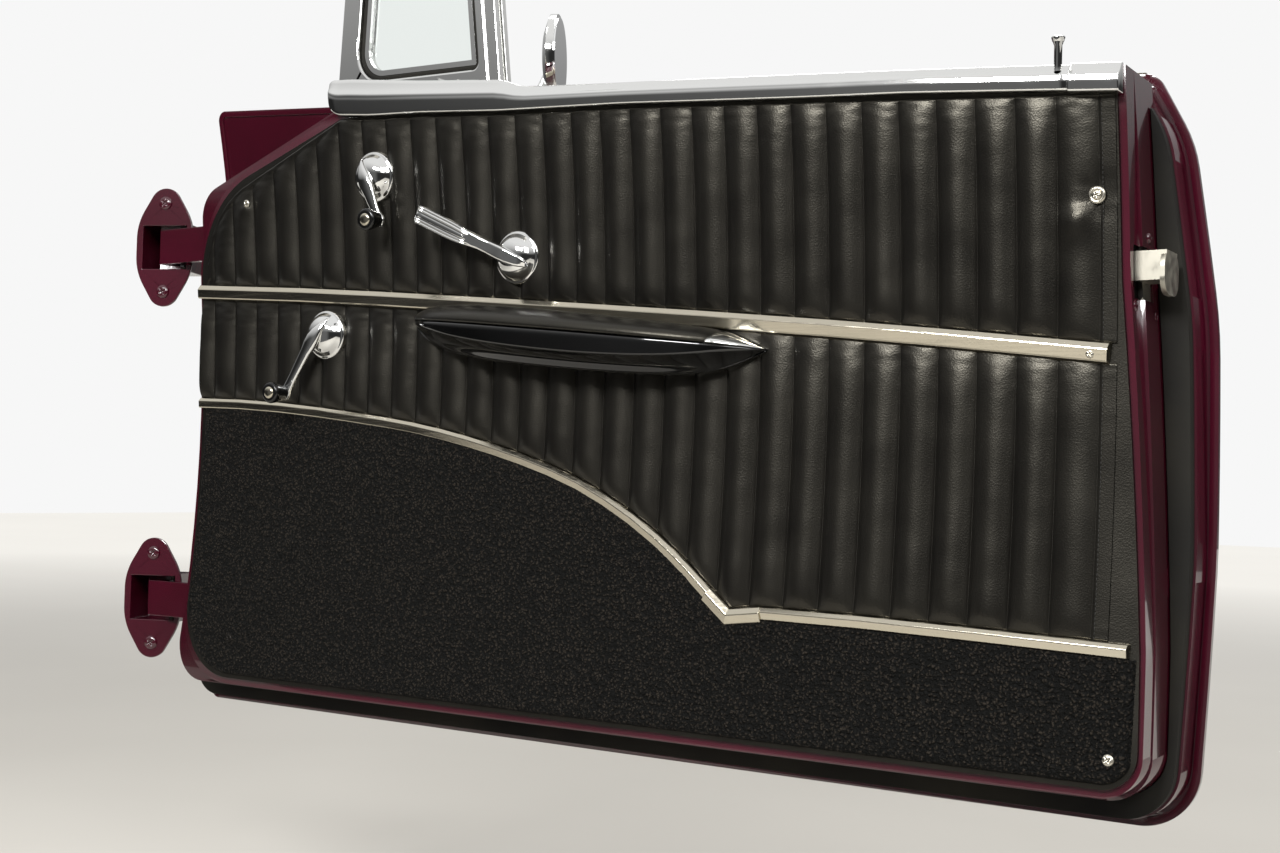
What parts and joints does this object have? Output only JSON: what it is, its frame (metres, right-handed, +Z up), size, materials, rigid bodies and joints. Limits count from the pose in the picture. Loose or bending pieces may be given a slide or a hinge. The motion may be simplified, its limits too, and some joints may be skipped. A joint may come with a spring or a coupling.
{
  "type": "hinged front door of a 1950s convertible car",
  "caption": "Right-hand car door on two pillar hinges, with pleated trim, carpet panel, armrest, cranks, vent window, lowered side glass, seals and latch.",
  "frame": {"origin": "centre of the upper pillar plate's two bolts, on the plate's back face", "axes": "+X along the door from the hinges to the latch, +Y from the cabin side to the outside, +Z up"},
  "size_m": [1.3008, 0.2711, 1.052],
  "materials": {
    "paint": "deep wine gloss paint",
    "bare_steel": "satin plated",
    "seal_rubber": "matt sponge rubber",
    "board": "vinyl-covered hardboard edge",
    "stainless": "polished stainless",
    "carpet": "loop pile",
    "gloss_black": "gloss",
    "vinyl": "grained vinyl with a soft sheen",
    "chrome": "polished",
    "clear_glass": "clear",
    "mirror_face": "silvered",
    "knob_black": "gloss"
  },
  "bodies": {
    "pillar": {"upper_hinge_base": "paint", "lower_hinge_base": "paint", "upper_hinge_pin": "bare_steel", "lower_hinge_pin": "bare_steel"},
    "door": {"upper_hinge_strap": "paint", "lower_hinge_strap": "paint", "outer_skin": "paint", "inner_frame": "paint", "weatherstrip": "seal_rubber", "front_weatherstrip": "seal_rubber", "trim_board": "board", "upper_strip": "stainless", "lower_strip_front": "stainless", "lower_strip_joint": "stainless", "lower_strip_rear": "stainless", "carpet_panel": "carpet", "armrest_base": "gloss_black", "armrest_pad": "vinyl", "armrest_tip": "chrome", "upper_pleats": "vinyl", "middle_pleats": "vinyl", "garnish_moulding": "chrome", "garnish_end_cap": "chrome", "lock_button": "chrome", "vent_frame": "chrome", "vent_seal": "seal_rubber", "vent_pane_frame": "chrome", "vent_glass": "clear_glass", "vent_pivot": "chrome", "division_bar": "chrome", "rear_run_channel": "bare_steel", "door_glass": "clear_glass", "latch": "bare_steel", "outer_belt_moulding": "stainless", "side_moulding": "stainless", "outer_handle": "chrome", "outer_button": "chrome", "mirror_arm": "chrome", "mirror_head": "chrome", "mirror_glass": "mirror_face", "vent_crank": "chrome", "vent_crank_knob": "knob_black", "window_crank": "chrome", "window_crank_knob": "knob_black", "inside_handle": "chrome"}
  },
  "joints": [
    {"name": "door_swing", "type": "hinge", "parent": "pillar", "child": "door", "pos_m": [-0.0005, 0.03066, 0], "axis": [0, 0, 1], "range_deg": [-65, 0]}
  ]
}
